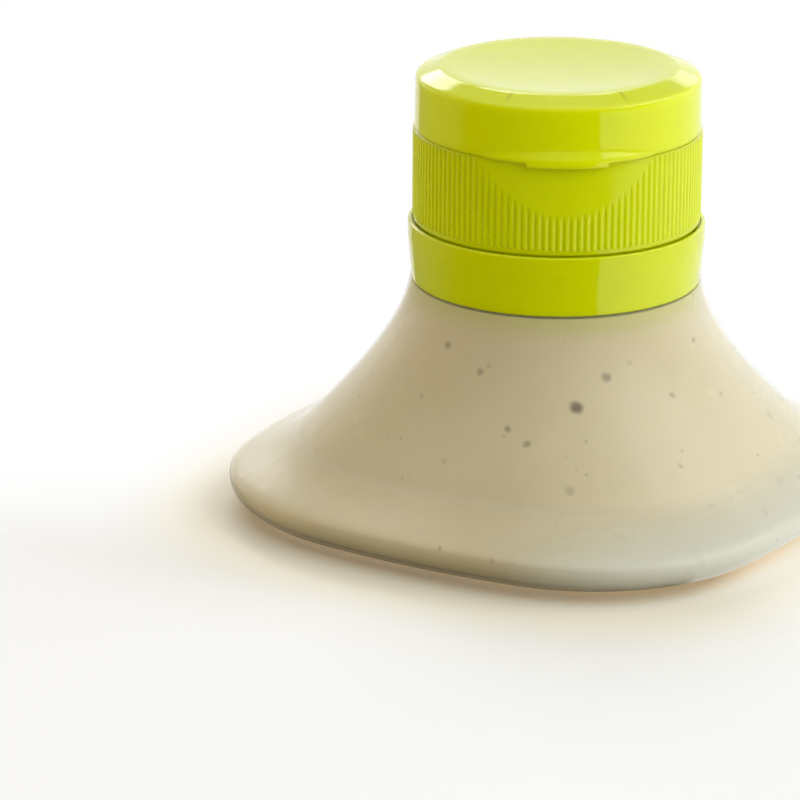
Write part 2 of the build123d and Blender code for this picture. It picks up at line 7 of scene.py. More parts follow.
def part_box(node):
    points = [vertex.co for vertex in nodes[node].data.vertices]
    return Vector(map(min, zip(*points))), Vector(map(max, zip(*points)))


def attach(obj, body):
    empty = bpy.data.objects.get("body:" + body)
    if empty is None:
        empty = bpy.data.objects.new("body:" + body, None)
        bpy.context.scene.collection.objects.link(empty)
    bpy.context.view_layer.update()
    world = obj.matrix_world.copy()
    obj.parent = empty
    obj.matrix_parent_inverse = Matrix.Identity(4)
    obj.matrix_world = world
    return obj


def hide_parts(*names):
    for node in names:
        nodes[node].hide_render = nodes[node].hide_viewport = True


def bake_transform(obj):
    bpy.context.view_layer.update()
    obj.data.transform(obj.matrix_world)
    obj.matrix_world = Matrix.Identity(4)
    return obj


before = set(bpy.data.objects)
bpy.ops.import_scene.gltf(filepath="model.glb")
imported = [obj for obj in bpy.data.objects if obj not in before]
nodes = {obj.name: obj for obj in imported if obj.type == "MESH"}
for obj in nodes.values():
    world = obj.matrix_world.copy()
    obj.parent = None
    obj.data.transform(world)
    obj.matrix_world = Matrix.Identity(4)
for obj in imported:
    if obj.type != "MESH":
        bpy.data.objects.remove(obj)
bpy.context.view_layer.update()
scene = bpy.context.scene
MM = 0.001

# ---- the bottle's shape, in millimetres, as in the part ----
BODY_HALF_WIDTH = 44.3
CORNER_REACH = 0.108
CORNER_TIGHTNESS = 0.329
BODY_TWIST = -32.5
SHOULDER_R = 21.55
SHOULDER_Z = 34.25
TIP_Z = 5.35
SQUARE_Z = 1.0
SQUARE_EASE = 1.17
CREASE_R = 35.7
CREASE_Z = 10.6
CONTACT_HALF_WIDTH = 35.6
CONTACT_WIDTH = 2.4
PUSH_UP = 1.6
PUSH_UP_SLOPE = 3.0
FLARE_TOP_LEAN, FLARE_FOOT_LEAN, FOOT_LEAN = 8.5, 38.2, 50.0
FLARE_TOP_PULL, FLARE_FOOT_PULL, FOOT_PULL, TIP_PULL = 0.36, 0.31, 0.62, 0.3
NECK_R = 17.5
NECK_BORE_R = 15.6
NECK_TOP_Z = 53.5
NECK_LAND_ROUND = 0.4
BEAD_R = 19.3
BEAD_BASE_Z = 39.9
BEAD_FLAT = 0.5
SAUCE_TOP_Z = 46.0
SAUCE_INSET = 0.35      # the wall magnifies the sauce, so it looks nearly as wide as the bottle
NECK_CUT_Z = 45.0       # where the skin stops in the neck's bore, under the sauce's top
BORE_GAP = 0.05         # between the sauce and the neck's bore
QUARTER_PULL = 0.5523   # makes a curve's quarter nearly round

# ---- how finely the meshes are cut ----
SECTION_POINTS = 256
CURVE_POINTS = 18
FLARE_POINTS = 36
SHARP_ANGLE = math.radians(35)
STRIP_CELLS = 24


# ---------------------------------------------------------------- bottle meshes
def squareness(z):
    """How square the body is at a height, from 0 at the shoulder to 1 low down."""
    share = max(0.0, min(1.0, (SHOULDER_Z - z) / (SHOULDER_Z - SQUARE_Z))) ** SQUARE_EASE
    return share * share * (3 - 2 * share)


def arc_reach(centre, angle, radius):
    """How far an arc lies from the origin in a direction at an angle to its centre's."""
    return centre * math.cos(angle) + math.sqrt(radius ** 2 - (centre * math.sin(angle)) ** 2)


def section_radius(half_width, z, angle):
    """Reach of the softly squared section at an angle from the middle of a flat."""
    share = max(squareness(z), 1e-4)
    reach = half_width * (1 + CORNER_REACH * share)
    corner_r = half_width * (1 - CORNER_TIGHTNESS * share)
    corner_at = (reach - corner_r) / math.sqrt(2)
    gap = half_width - corner_at
    side_r = (gap ** 2 + corner_at ** 2 - corner_r ** 2) / (2 * (gap - corner_r))
    side_at = half_width - side_r
    lean = math.atan2(corner_at, corner_at - side_at)
    join = math.atan2(side_r * math.sin(lean), side_at + side_r * math.cos(lean))
    angle = abs((angle + math.pi / 4) % (math.pi / 2) - math.pi / 4)
    if angle < join:
        return arc_reach(side_at, angle, side_r)
    return arc_reach(corner_at * math.sqrt(2), math.pi / 4 - angle, corner_r)


def body_point(half_width, z, azimuth):
    """Point of the body, in metres, at an azimuth in degrees."""
    angle = math.radians(azimuth)
    r = section_radius(half_width, z, angle - math.radians(BODY_TWIST)) if half_width else 0.0
    return Vector((r * math.cos(angle), r * math.sin(angle), z)) * MM


def bezier(points, count):
    """Points along a cubic curve with four control points."""
    out = []
    for step in range(count):
        t = step / (count - 1)
        weights = ((1 - t) ** 3, 3 * t * (1 - t) ** 2, 3 * t * t * (1 - t), t ** 3)
        out.append(tuple(sum(w * p[i] for w, p in zip(weights, points)) for i in (0, 1)))
    return out


def heel_curve(inset):
    """From the ring that the bottle stands on out to the foot's tip."""
    tip_r, rise = BODY_HALF_WIDTH - inset, TIP_Z - inset
    run = tip_r - CONTACT_HALF_WIDTH
    return bezier([
        (CONTACT_HALF_WIDTH, inset),
        (CONTACT_HALF_WIDTH + QUARTER_PULL * run, inset),
        (tip_r, TIP_Z - QUARTER_PULL * rise),
        (tip_r, TIP_Z)], CURVE_POINTS)


def foot_curve(inset):
    """From the foot's tip in to the crease."""
    tip_r = BODY_HALF_WIDTH - inset
    flare, lean = math.radians(FLARE_FOOT_LEAN), math.radians(FOOT_LEAN)
    crease = (CREASE_R - inset * math.cos(flare), CREASE_Z - inset * math.sin(flare))
    pull = FOOT_PULL * (tip_r - crease[0])
    return bezier([
        (tip_r, TIP_Z),
        (tip_r, TIP_Z + TIP_PULL * (crease[1] - TIP_Z)),
        (crease[0] + pull * math.sin(lean), crease[1] - pull * math.cos(lean)),
        crease], CURVE_POINTS)


def flare_curve(inset):
    """From the crease up to the shoulder."""
    top_lean, foot_lean = math.radians(FLARE_TOP_LEAN), math.radians(FLARE_FOOT_LEAN)
    height = SHOULDER_Z - CREASE_Z
    top = (SHOULDER_R - inset * math.cos(top_lean), SHOULDER_Z - inset * math.sin(top_lean))
    foot = (CREASE_R - inset * math.cos(foot_lean), CREASE_Z - inset * math.sin(foot_lean))
    high, low = FLARE_TOP_PULL * height, FLARE_FOOT_PULL * height
    return bezier([
        foot,
        (foot[0] - low * math.sin(foot_lean), foot[1] + low * math.cos(foot_lean)),
        (top[0] + high * math.sin(top_lean), top[1] - high * math.cos(top_lean)),
        top], FLARE_POINTS)


def base_curve(inset):
    """From the axis out over the push-up to the ring that the bottle stands on."""
    slope = PUSH_UP_SLOPE / PUSH_UP
    low = CONTACT_HALF_WIDTH - CONTACT_WIDTH + inset * math.sqrt(1 + slope ** 2)
    top = PUSH_UP + inset
    edge = low - slope * top
    return [(0, top), (edge * 0.5, top), (edge - 1.0, top), (edge, top),
            (low - slope * inset, inset)]


def ring_mesh(name, profile):
    """Object of stacked sections. A half width of 0 closes an end to a point."""
    vertices, rows = [], []
    for half_width, z in profile:
        first = len(vertices)
        count = SECTION_POINTS if half_width else 1
        for step in range(count):
            vertices.append(body_point(half_width, z, 360 * step / SECTION_POINTS))
        rows.append([first + step % count for step in range(SECTION_POINTS)])
    faces = []
    for low, high in zip(rows[:-1], rows[1:]):
        for step in range(SECTION_POINTS):
            after = (step + 1) % SECTION_POINTS
            corners = [low[step], low[after], high[after], high[step]]
            faces.append(list(dict.fromkeys(corners)))
    mesh = bpy.data.meshes.new(name)
    mesh.from_pydata(vertices, [], faces)
    mesh.polygons.foreach_set("use_smooth", [True] * len(mesh.polygons))
    mesh.set_sharp_from_angle(angle=SHARP_ANGLE)
    obj = bpy.data.objects.new(name, mesh)
    scene.collection.objects.link(obj)
    return obj


def bottle_skin():
    """The wall's outside, from the base over the neck and down into its bore."""
    run = BEAD_R - NECK_R
    neck = [
        (NECK_R, SHOULDER_Z), (NECK_R, BEAD_BASE_Z), (BEAD_R, BEAD_BASE_Z),
        (BEAD_R, BEAD_BASE_Z + BEAD_FLAT), (NECK_R, BEAD_BASE_Z + BEAD_FLAT + run),
        (NECK_R, NECK_TOP_Z - NECK_LAND_ROUND), (NECK_R - NECK_LAND_ROUND, NECK_TOP_Z),
        (NECK_BORE_R, NECK_TOP_Z), (NECK_BORE_R, NECK_CUT_Z)]
    profile = base_curve(0) + heel_curve(0) + foot_curve(0)[1:] + flare_curve(0)[1:] + neck
    return ring_mesh("bottle_skin", profile)


def sauce_mesh():
    """The sauce, close inside the skin and up into the neck."""
    ledge = SHOULDER_Z - SAUCE_INSET
    flare = [p for p in flare_curve(SAUCE_INSET) if p[1] < ledge - 0.01]
    neck_r = NECK_BORE_R - BORE_GAP
    neck = [
        (SHOULDER_R - SAUCE_INSET, ledge), (neck_r, ledge),
        (neck_r, SAUCE_TOP_Z), (0, SAUCE_TOP_Z)]
    profile = base_curve(SAUCE_INSET) + heel_curve(SAUCE_INSET)
    profile += foot_curve(SAUCE_INSET)[1:] + flare[1:] + neck
    return ring_mesh("sauce_body", profile)


def strip_mesh(name, low, high):
    """Object like a thin upright strip, of many short cells."""
    vertices, faces = [], []
    for step in range(STRIP_CELLS + 1):
        z = low[2] + (high[2] - low[2]) * step / STRIP_CELLS
        for x, y in ((low[0], low[1]), (high[0], low[1]), (high[0], high[1]), (low[0], high[1])):
            vertices.append(Vector((x, y, z)))
    for step in range(STRIP_CELLS):
        base = 4 * step
        for side in range(4):
            after = (side + 1) % 4
            faces.append([base + side, base + after, base + 4 + after, base + 4 + side])
    last = 4 * STRIP_CELLS
    faces += [[3, 2, 1, 0], [last, last + 1, last + 2, last + 3]]
    mesh = bpy.data.meshes.new(name)
    mesh.from_pydata(vertices, [], faces)
    obj = bpy.data.objects.new(name, mesh)
    scene.collection.objects.link(obj)
    return obj


def hinge_piece(node):
    """Copy of a hinge strip, from the closure to the lid, as a strip of many short cells."""
    low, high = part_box(node)
    obj = strip_mesh(node + "_bending", low, high)
    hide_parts(node)
    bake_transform(obj)
    return obj


# ---------------------------------------------------------------- colour
def lin(r, g, b):
    """An 8-bit sRGB colour as linear light."""
    out = []
    for c in (r, g, b):
        c /= 255
        out.append(c / 12.92 if c <= 0.04045 else ((c + 0.055) / 1.055) ** 2.4)
    return tuple(out) + (1.0,)


# ---------------------------------------------------------------- the closure's looks
LIME = lin(213, 223, 0), lin(208, 219, 0)
LID_LIT_LIME = lin(223, 233, 0), lin(218, 229, 0)      # painted light: the lid's lime is painted lighter, for the light that comes through the empty lid
# painted shade: the darker lime of the fine lines at the ends of the lid's front flat
LIME_PAINTED_SHADE = lin(176, 190, 0)
EDGE_ROUNDING = 0.3 * MM
LID_EDGE_ROUNDING = 0.7 * MM
LIME_ROUGHNESS = (0.06, 0.12)
LIME_DEPTH = 2.5 * MM       # how far light spreads inside the plastic
LIME_SPREAD = (1.0, 0.9, 0.05)
FLAT_HALF_ANGLE = math.radians(26)      # the flat in the lid's front shoulder
FLAT_START, FLAT_END = (17.2 * MM, 17.6 * MM), (19.0 * MM, 20.0 * MM)   # from the axis
FLAT_SHADE_WIDTH = (0.008, 0.022)      # radians to each side of the flat's end, over which the painted shade line fades

# ---------------------------------------------------------------- the bottle's looks
MILK = lin(234, 237, 226)
# haze in the wall head on and at its edges; the shares on the foot and on the crease are painted
# light and a painted highlight
MILK_FACING, MILK_EDGE, FOOT_PAINTED_LIGHT, CREASE_PAINTED_HIGHLIGHT = 0.10, 0.36, 0.58, 0.12
# painted light: the foot is painted paler towards this lit side, from the first reach on and fully
# past the second
LIT_SIDE = (math.sin(math.radians(50)), -math.cos(math.radians(50)), 0.0)
LIT_SIDE_REACH = (14 * MM, 38 * MM)
# heights over which the foot's painted light fades in and out
FOOT_LOW, FOOT_HIGH = (0.3 * MM, 3.5 * MM), (5.5 * MM, 12 * MM)
CREASE_HIGHLIGHT_SPAN = (0.0, 0.7 * MM)   # up and down from the crease, the width of its painted highlight
SHINE = 0.7                 # share of a full gloss
SATIN = (0.26, 0.36)        # roughness of the wall
# the mould's parting line runs over two opposite corners
PARTING_NORMAL = tuple(Matrix.Rotation(math.radians(BODY_TWIST + 135), 3, "Z") @ Vector((1, 0, 0)))
PARTING_LINE = (0.1 * MM, 0.5 * MM)     # to each side of it

# ---------------------------------------------------------------- the sauce's looks
CREAM = lin(220, 206, 173)
CREAM_DEEP = lin(210, 195, 158)
HERB = lin(96, 88, 52)
PEPPER = lin(88, 70, 40)
OCHRE = lin(150, 124, 84)
# painted light: the closure's lime light as a colour painted onto the sauce
LIME_GLOW = lin(196, 192, 104)
GLOW_DROP = 4.5             # how far down the closure's light reaches on the sauce, in mm
GLOW_SHARE = 0.7
FRONT_DIRECTION = (0.0, -1.0, 0.0)
STREWN_EDGE = (2.0 * MM, 12.0 * MM)     # towards the front, where the strewn specks end
SPECK_WARP = 0.9 * MM       # how ragged the specks are
SPECK_CORE, SPECK_EDGE = 0.15, 0.62     # where a speck starts to fade and ends, of its length
STREWN_STEP = (0.013, 0.021, 0.017)     # each layer of strewn specks is moved by this, in metres
# specks strewn at random: cells per metre, share that holds one, size in cells, colour,
# how dark, and whether they keep off the front
STREWN = [
    (150.0, 0.5, 0.13, HERB, 0.75, True), (230.0, 0.6, 0.14, PEPPER, 0.75, True),
    (420.0, 0.10, 0.2, HERB, 0.35, False), (800.0, 0.10, 0.24, OCHRE, 0.35, False)]
# the specks that show from the front: azimuth, height, length (mm), how dark
SPECKS = [
    (-87, 22.5, 2.3, 0.85), (-76, 26, 1.7, 0.5), (-136, 28.5, 1.3, 0.5), (-120, 26, 1.3, 0.45),
    (-117, 27, 1.0, 0.2), (-66.5, 27.5, 1.2, 0.2), (-33, 28, 1.1, 0.4), (-54, 22.5, 1.2, 0.4),
    (-32, 20.5, 1.2, 0.25), (-107, 19.5, 1.3, 0.55), (-101, 18, 1.3, 0.45), (-85, 18.5, 0.6, 0.3),
    (-138.5, 21.5, 0.9, 0.25), (-59, 16, 1.0, 0.25), (-61, 14.5, 1.1, 0.3), (-32, 9, 1.3, 0.45),
    (-15, 15, 1.8, 0.25), (-90, 13, 1.8, 0.25), (-58, 9.5, 1.4, 0.35), (-70, 9, 1.1, 0.42),
    (-123, 14.5, 1.2, 0.2), (-115, 6, 0.9, 0.35), (-94.5, 7, 0.8, 0.35), (-104.5, 5.5, 0.8, 0.3),
]

# ---------------------------------------------------------------- floor and lights
# the floor that the camera sees, with painted warm light and painted contact shade near the bottle
# and painted light lifting it; the reaches are distances from the bottle's middle
FLOOR_WHITE = (1.0, 1.0, 0.995, 1)
FLOOR_WARM = (0.98, 0.93, 0.80, 1)
FLOOR_CONTACT = (1.0, 0.72, 0.37, 1)
FLOOR_WARM_REACH = (46 * MM, 62 * MM)
FLOOR_CONTACT_REACH = (36 * MM, 44.5 * MM)
# painted light: emission lifts the floor near the contact, on the right and behind, and far off to
# an even white
FLOOR_LIFT_CONTACT = (37 * MM, 42 * MM, 0.34, 0.0)
FLOOR_LIFT_FAR = (48 * MM, 78 * MM, 0.0, 0.45)
FLOOR_LIFT_RIGHT = (-4 * MM, 18 * MM, 0.0, 0.65)
FLOOR_BACK_REACH = (-45 * MM, 15 * MM)
FLOOR_BACK_START = (39 * MM, 54 * MM)
SQUARED = 3.0               # power of the norm that measures those distances
# the table as it lights the bottle and shows in its gloss: white on the right of a
# slanting edge, darker and warmer on its left
EDGE_POINT = Vector((5, -20, 0)) * MM
EDGE_ACROSS = Vector((math.cos(math.radians(30)), math.sin(math.radians(30)), 0))
EDGE_SOFT = (-1.5 * MM, 1.5 * MM)
BOUNCE_CHANGE = (-40 * MM, 40 * MM)
FAR_ACROSS = Vector((-0.174, 0.985, 0))     # the mirrored table gets lighter this way
FAR_CHANGE = (-20 * MM, 60 * MM)
BOUNCE_LEFT = (0.36, 0.31, 0.20, 1)
BOUNCE_RIGHT = (0.96, 0.95, 0.90, 1)
MIRRORED_NEAR = (0.02, 0.02, 0.01, 1)
MIRRORED_FAR = (0.36, 0.35, 0.30, 1)
WHITE = (1, 1, 1, 1)
ROOM_COLOUR = (1.0, 0.91, 0.78, 1)
ROOM_LIGHT = 0.27
ROOM_BEHIND = (-0.4, 0.6, 0.03, 0.6)    # direction's Y, and how bright it is mirrored
ROOM_ABOVE = (0.65, 0.85)               # direction's Z, over which it is mirrored white
COOL = (0.93, 0.97, 1.0)
WARM = (1.0, 0.92, 0.78)
PANEL_AIM = Vector((0, 0, 0.045))

# ---------------------------------------------------------------- camera
CAMERA_TURN = -4.0          # degrees round the bottle's axis
CAMERA_DISTANCE, CAMERA_HEIGHT = 0.63866, 0.22571
YAW, PITCH, ROLL = -0.0359, 0.3194, 0.0045      # radians
LENS, SENSOR = 202.5, 36.0  # in mm


# ---------------------------------------------------------------- shader helpers
class Net:
    """A node tree that is built by short calls."""

    def __init__(self, tree):
        self.tree = tree
        tree.nodes.clear()

    def add(self, kind, inputs=None, **props):
        node = self.tree.nodes.new(kind)
        for key, value in props.items():
            setattr(node, key, value)
        for key, value in (inputs or {}).items():
            self.put(node.inputs[key], value)
        return node

    def put(self, socket, value):
        if isinstance(value, bpy.types.NodeSocket):
            self.tree.links.new(value, socket)
        else:
            socket.default_value = value

    def math(self, operation, *values):
        return self.add("ShaderNodeMath", dict(enumerate(values)), operation=operation).outputs[0]

    def vector(self, operation, *values):
        inputs = dict(enumerate(values))
        return self.add("ShaderNodeVectorMath", inputs, operation=operation).outputs

    def span(self, value, low, high, to_low=0.0, to_high=1.0):
        """Clamped, smooth change of a value from one span to another."""
        node = self.add("ShaderNodeMapRange", {"Value": value}, interpolation_type="SMOOTHSTEP")
        ends = {"From Min": low, "From Max": high, "To Min": to_low, "To Max": to_high}
        for key, number in ends.items():
            self.put(node.inputs[key], number)
        return node.outputs["Result"]

    def colours(self, fac, a, b):
        node = self.add("ShaderNodeMix", data_type="RGBA")
        for index, value in ((0, fac), (6, a), (7, b)):
            self.put(node.inputs[index], value)
        return node.outputs[2]

    def noise(self, coord, scale, detail=2.0):
        return self.add("ShaderNodeTexNoise", {"Vector": coord, "Scale": scale, "Detail": detail})

    def bump(self, height, distance, strength, normal=None):
        inputs = {"Height": height, "Distance": distance, "Strength": strength}
        if normal is not None:
            inputs["Normal"] = normal
        return self.add("ShaderNodeBump", inputs).outputs["Normal"]

    def blend(self, share, a, b):
        return self.add("ShaderNodeMixShader", {0: share, 1: a, 2: b}).outputs[0]

    def diffuse(self, colour):
        return self.add("ShaderNodeBsdfDiffuse", {"Color": colour}).outputs[0]

    def surface(self, shader):
        self.add("ShaderNodeOutputMaterial", {"Surface": shader})


def new_material(name):
    material = bpy.data.materials.new(name)
    material.use_nodes = True
    return material, Net(material.node_tree)


def paint(objects, material):
    for obj in objects:
        obj.data.materials.clear()
        obj.data.materials.append(material)


# ---------------------------------------------------------------- materials
def flat_shade_line(net, coord):
    """Mask of painted shade: a fine dark line at each end of the flat in the lid's front shoulder.
    """
    place = net.add("ShaderNodeSeparateXYZ", {"Vector": coord}).outputs
    across = net.math("ABSOLUTE", place["X"])
    angle = net.math("ARCTAN2", across, net.math("MULTIPLY", place["Y"], -1.0))
    off = net.math("ABSOLUTE", net.math("SUBTRACT", angle, FLAT_HALF_ANGLE))
    out = net.vector("LENGTH", net.vector("MULTIPLY", coord, (1, 1, 0))[0])[1]
    line = net.math("MULTIPLY", net.span(out, *FLAT_START), net.span(out, *FLAT_END, 1.0, 0.0))
    return net.math("MULTIPLY", line, net.span(off, *FLAT_SHADE_WIDTH, 0.5, 0.0))


def closure_plastic(name, tones, rounding, with_flat_shade=False):
    """Glossy lime moulding with rounded edges, faint mould ripple and fine pitting, and on the lid
    painted shade at the ends of its front flat.
    """
    material, net = new_material(name)
    coord = net.add("ShaderNodeTexCoord").outputs["Object"]
    broad = net.noise(coord, 60.0).outputs["Fac"]
    fine = net.noise(coord, 1400.0, 3.0).outputs["Fac"]
    bevel = net.add("ShaderNodeBevel", {"Radius": rounding}, samples=8).outputs["Normal"]
    normal = net.bump(broad, 0.2 * MM, 0.25, net.bump(fine, 0.05 * MM, 0.12, bevel))
    colour = net.colours(net.span(broad, 0.3, 0.7), tones[1], tones[0])
    if with_flat_shade:
        # painted shade: a fine dark line at each end of the lid's front flat
        colour = net.colours(flat_shade_line(net, coord), colour, LIME_PAINTED_SHADE)
    shader = net.add("ShaderNodeBsdfPrincipled", {
        "Base Color": colour, "Roughness": net.span(fine, 0.2, 0.8, *LIME_ROUGHNESS), "IOR": 1.5,
        "Subsurface Weight": 0.55, "Subsurface Scale": LIME_DEPTH,
        "Subsurface Radius": LIME_SPREAD, "Normal": normal})
    net.surface(shader.outputs["BSDF"])
    return material


def milk_and_painted_light(net, coord):
    """Share of haze in the wall, more at its edges, with painted light on the foot's lit side and a
    painted highlight along the crease.
    """
    facing = net.add("ShaderNodeLayerWeight", {"Blend": 0.4}).outputs["Facing"]
    milk_and_light = net.span(facing, 0.25, 1.0, MILK_FACING, MILK_EDGE)
    height = net.add("ShaderNodeSeparateXYZ", {"Vector": coord}).outputs["Z"]
    # painted light makes the foot paler on its lit side, and a thin painted highlight follows the
    # crease on the other
    side = net.span(net.vector("DOT_PRODUCT", coord, LIT_SIDE)[1], *LIT_SIDE_REACH)
    foot = net.math("MULTIPLY", net.span(height, *FOOT_LOW), net.span(height, *FOOT_HIGH, 1.0, 0.0))
    foot = net.math("MULTIPLY", net.math("MULTIPLY", foot, side), FOOT_PAINTED_LIGHT)
    off_crease = net.math("ABSOLUTE", net.math("SUBTRACT", height, CREASE_Z * MM))
    line = net.span(off_crease, *CREASE_HIGHLIGHT_SPAN, CREASE_PAINTED_HIGHLIGHT, 0.0)
    crease = net.math("MULTIPLY", line, net.math("SUBTRACT", 1.0, side))
    for extra in (foot, crease):
        clear_share = net.math("SUBTRACT", 1.0, milk_and_light)
        milk_and_light = net.math("ADD", milk_and_light, net.math("MULTIPLY", clear_share, extra))
    return milk_and_light


def bottle_plastic():
    """Milky blown wall with a satin surface: see-through head on, bluish at its edges."""
    material, net = new_material("bottle_plastic")
    coord = net.add("ShaderNodeTexCoord").outputs["Object"]
    broad = net.noise(coord, 35.0).outputs["Fac"]
    fine = net.noise(coord, 320.0).outputs["Fac"]
    across = net.vector("DOT_PRODUCT", coord, PARTING_NORMAL)[1]
    line = net.span(net.math("ABSOLUTE", across), *PARTING_LINE, 1.0, 0.0)
    soft = net.bump(broad, 0.35 * MM, 0.3)
    normal = net.bump(fine, 0.02 * MM, 0.06, net.bump(line, 0.05 * MM, 0.25, soft))
    clear = net.add("ShaderNodeBsdfTransparent", {"Color": (0.97, 0.97, 0.95, 1)}).outputs[0]
    haze = net.add("ShaderNodeBsdfDiffuse", {"Color": MILK, "Normal": soft}).outputs[0]
    body = net.blend(milk_and_painted_light(net, coord), clear, haze)
    satin = net.span(fine, 0.2, 0.8, *SATIN)
    gloss = net.add("ShaderNodeBsdfGlossy", {
        "Color": WHITE, "Roughness": satin, "Normal": normal}).outputs[0]
    fresnel = net.add("ShaderNodeFresnel", {"IOR": 1.45, "Normal": normal}).outputs[0]
    # only the wall's outside shines
    inside = net.add("ShaderNodeNewGeometry").outputs["Backfacing"]
    outside = net.math("SUBTRACT", SHINE, net.math("MULTIPLY", inside, SHINE))
    net.surface(net.blend(net.math("MULTIPLY", fresnel, outside), body, gloss))
    return material


def speck_field(net, coord, scale, share, size, offset):
    """Mask of soft specks strewn at random: cells per metre, share of them, size in cells."""
    moved = net.vector("ADD", coord, offset)[0]
    cell = net.add("ShaderNodeTexVoronoi", {"Vector": moved, "Scale": scale})
    pick = net.add("ShaderNodeSeparateColor", {"Color": cell.outputs["Color"]}).outputs
    radius = net.span(pick["Green"], 0.0, 1.0, size * 0.4, size)
    chosen = net.math("LESS_THAN", pick["Red"], share)
    near = net.span(cell.outputs["Distance"], net.math("MULTIPLY", radius, 0.35), radius, 1.0, 0.0)
    return net.math("MULTIPLY", near, chosen)


def sauce():
    """Cream dressing with herb and pepper specks of several sizes, and painted lime light at the
    shoulder.
    """
    material, net = new_material("sauce")
    coord = net.add("ShaderNodeTexCoord").outputs["Object"]
    warp = net.noise(coord, 700.0, 3.0).outputs["Color"]
    shift = net.add("ShaderNodeVectorMath", {
        0: net.vector("SUBTRACT", warp, (0.5, 0.5, 0.5))[0]}, operation="SCALE")
    shift.inputs["Scale"].default_value = SPECK_WARP
    place = net.vector("ADD", coord, shift.outputs[0])[0]
    broad = net.noise(coord, 26.0, 3.0).outputs["Fac"]
    cloud = net.noise(coord, 170.0, 4.0).outputs["Fac"]
    colour = net.colours(net.span(broad, 0.3, 0.7), CREAM_DEEP, CREAM)
    colour = net.colours(net.span(cloud, 0.6, 0.8, 0.0, 0.35), colour, CREAM_DEEP)
    # the front keeps the specks that show there, and the rest is strewn at random
    front = net.vector("DOT_PRODUCT", coord, FRONT_DIRECTION)[1]
    off_front = net.span(front, *STREWN_EDGE, 1.0, 0.0)
    for index, (scale, share, size, tint, depth, keeps_off) in enumerate(STREWN):
        offset = tuple(step * index for step in STREWN_STEP)
        mask = speck_field(net, place, scale, share, size, offset)
        if keeps_off:
            mask = net.math("MULTIPLY", mask, off_front)
        colour = net.colours(net.math("MULTIPLY", mask, depth), colour, tint)
    for azimuth, height, length, depth in SPECKS:
        centre = body_point(half_width_at(height) - SAUCE_INSET, height, azimuth)
        away = net.vector("DISTANCE", place, tuple(centre))[1]
        mask = net.span(away, SPECK_CORE * length * MM, SPECK_EDGE * length * MM, depth, 0.0)
        colour = net.colours(mask, colour, PEPPER)
    # painted light: lime light from the closure is painted onto the sauce at the shoulder
    height = net.add("ShaderNodeSeparateXYZ", {"Vector": coord}).outputs["Z"]
    glow = net.span(height, (SHOULDER_Z - GLOW_DROP) * MM, SHOULDER_Z * MM, 0.0, GLOW_SHARE)
    colour = net.colours(glow, colour, LIME_GLOW)
    shader = net.add("ShaderNodeBsdfPrincipled", {
        "Base Color": colour, "Roughness": 0.5, "IOR": 1.2,
        "Subsurface Weight": 0.35, "Subsurface Scale": 1.5 * MM,
        "Subsurface Radius": (1.0, 0.8, 0.5), "Normal": net.bump(broad, 0.2 * MM, 0.2)})
    net.surface(shader.outputs["BSDF"])
    return material


def half_width_at(height):
    """The body's outer half width at a height, in millimetres."""
    profile = heel_curve(0) + foot_curve(0)[1:] + flare_curve(0)[1:]
    for low, high in zip(profile[:-1], profile[1:]):
        if low[1] <= height <= high[1]:
            share = (height - low[1]) / max(high[1] - low[1], 1e-6)
            return low[0] + share * (high[0] - low[0])
    return SHOULDER_R


def foam():
    """Matt white foam with fine cells."""
    material, net = new_material("liner_foam")
    coord = net.add("ShaderNodeTexCoord").outputs["Object"]
    cells = net.add("ShaderNodeTexVoronoi", {"Vector": coord, "Scale": 2500.0}).outputs["Distance"]
    colour = net.colours(cells, lin(238, 238, 233), lin(224, 224, 218))
    shader = net.add("ShaderNodeBsdfPrincipled", {
        "Base Color": colour, "Roughness": 0.8, "Normal": net.bump(cells, 0.1 * MM, 0.4)})
    net.surface(shader.outputs["BSDF"])
    return material


# ---------------------------------------------------------------- the dressed part
skin = bottle_skin()
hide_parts("bottle_shell")
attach(skin, "bottle")
dressing = sauce_mesh()
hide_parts("sauce_fill")
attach(dressing, "bottle")
hinge = [hinge_piece(name) for name in ("hinge_web", "hinge_strap_left", "hinge_strap_right")]

paint([skin, nodes["neck_thread"]], bottle_plastic())
paint([dressing], sauce())
paint([nodes["liner_ring"]], foam())
lime_nodes = [nodes[name] for name in (
    "tamper_band", "band_catches", "band_bridges", "closure_shell", "closure_thread", "pour_spout")]
paint(hinge + lime_nodes, closure_plastic("closure_plastic", LIME, EDGE_ROUNDING))
lid_plastic = closure_plastic("lid_plastic", LID_LIT_LIME, LID_EDGE_ROUNDING, True)
paint([nodes["lid_shell"], nodes["lid_plug"]], lid_plastic)


